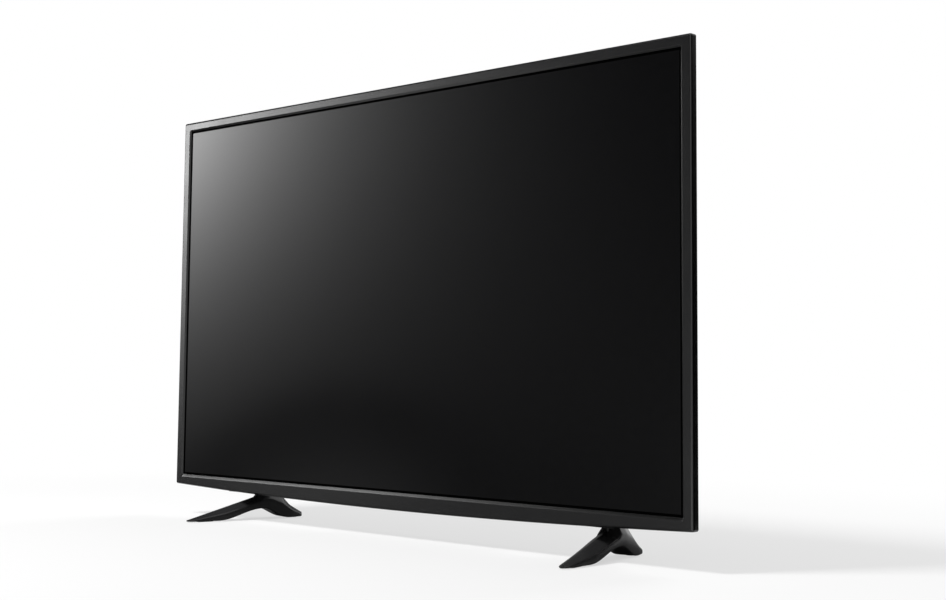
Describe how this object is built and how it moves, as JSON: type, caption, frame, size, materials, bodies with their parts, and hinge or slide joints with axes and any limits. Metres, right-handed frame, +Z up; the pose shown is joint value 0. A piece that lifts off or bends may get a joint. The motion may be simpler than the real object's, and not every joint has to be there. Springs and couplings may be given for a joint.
{
  "type": "flat screen television",
  "caption": "Flat screen television with a thin dark frame bowed along its lower edge, a deeper lower back with recessed sockets, and two splayed three-sided legs.",
  "frame": {"origin": "on the surface that the set stands on, at the middle of its length and of its depth over the legs", "axes": "+X to the viewer's right along the screen, +Y from the screen to the back, +Z up"},
  "size_m": [0.975, 0.185, 0.607],
  "materials": {
    "bezel_plastic": "dark grey moulded plastic with a fine brushed line along the frame",
    "smoked_window": "smoked clear plastic",
    "foam": "soft black foam",
    "screen_film": "satin anti-glare film, black when off",
    "panel_glass": "thin clear glass pair",
    "white_plastic": "white moulded plastic",
    "optical_film": "milky optical film",
    "clear_plastic": "clear moulded acrylic",
    "lamp_board": "white lacquered metal-core board",
    "tray_steel": "pressed galvanised steel",
    "turned_steel": "turned steel",
    "black_steel": "blackened steel screws",
    "circuit_board": "green lacquered circuit board",
    "amber_film": "amber flexible film",
    "flat_cable": "white flat cable",
    "sink_metal": "black anodised aluminium",
    "tin_plate": "tinned steel",
    "ferrite": "yellow tape over dark ferrite",
    "can_sleeve": "dark shrink sleeve",
    "socket_plastic": "black moulded plastic",
    "speaker_plastic": "black moulded plastic",
    "cone_paper": "coated paper",
    "soft_rubber": "black rubber",
    "key_plastic": "dark grey moulded plastic",
    "leg_plastic": "dark grey moulded plastic, semi-gloss",
    "cover_plastic": "black moulded plastic with a fine spark texture"
  },
  "bodies": {
    "cabinet": {"front_bezel": "bezel_plastic", "sensor_window": "smoked_window", "bezel_gasket": "foam", "front_polarizer": "screen_film", "lcd_cell": "panel_glass", "rear_polarizer": "screen_film", "panel_guide": "white_plastic", "brightness_sheet": "optical_film", "prism_sheet": "optical_film", "diffuser_sheet": "optical_film", "diffuser_plate": "optical_film", "plate_posts": "clear_plastic", "reflector_sheet": "white_plastic", "led_strips": "lamp_board", "led_lenses": "clear_plastic", "back_tray": "tray_steel", "mount_rails": "tray_steel", "mount_posts": "turned_steel", "source_boards": "circuit_board", "panel_films": "amber_film", "timing_board": "circuit_board", "panel_cables": "flat_cable", "signal_cable": "flat_cable", "board_pillars": "turned_steel", "board_screws": "black_steel", "main_board": "circuit_board", "processor_heat_sink": "sink_metal", "tuner_can": "tin_plate", "power_board": "circuit_board", "power_transformers": "ferrite", "power_capacitors": "can_sleeve", "power_heat_sinks": "sink_metal", "wireless_board": "circuit_board", "hdmi_sockets": "tin_plate", "usb_socket": "tin_plate", "headphone_socket": "socket_plastic", "antenna_socket": "tin_plate", "network_socket": "socket_plastic", "optical_socket": "socket_plastic", "video_sockets": "tin_plate", "side_jack_plate": "tray_steel", "lower_jack_plate": "tray_steel", "ac_inlet": "socket_plastic", "right_speaker": "speaker_plastic", "left_speaker": "speaker_plastic", "speaker_cones": "cone_paper", "speaker_bushes": "soft_rubber", "key_housing": "socket_plastic", "key_board": "circuit_board", "leg_brackets": "tray_steel", "right_leg": "leg_plastic", "left_leg": "leg_plastic", "leg_pads": "soft_rubber", "leg_screws": "black_steel", "cover_screws": "black_steel", "rear_cover": "cover_plastic"},
    "ring": {"key_ring": "socket_plastic"},
    "stem": {"key_stem": "socket_plastic"},
    "cap": {"key_cap": "key_plastic"}
  },
  "joints": [
    {"name": "key_rock", "type": "hinge", "parent": "cabinet", "child": "ring", "pos_m": [0, 0.005, 0.05025], "axis": [0, 1, 0], "range_deg": [-5, 5], "stiffness_Nm_per_rad": 0.02},
    {"name": "key_nod", "type": "hinge", "parent": "ring", "child": "stem", "pos_m": [0, 0.005, 0.05025], "axis": [1, 0, 0], "range_deg": [-5, 5], "stiffness_Nm_per_rad": 0.02},
    {"name": "key_press", "type": "slide", "parent": "stem", "child": "cap", "axis": [0, 0, 1], "range_m": [0, 0.0006], "stiffness_N_per_m": 800}
  ]
}
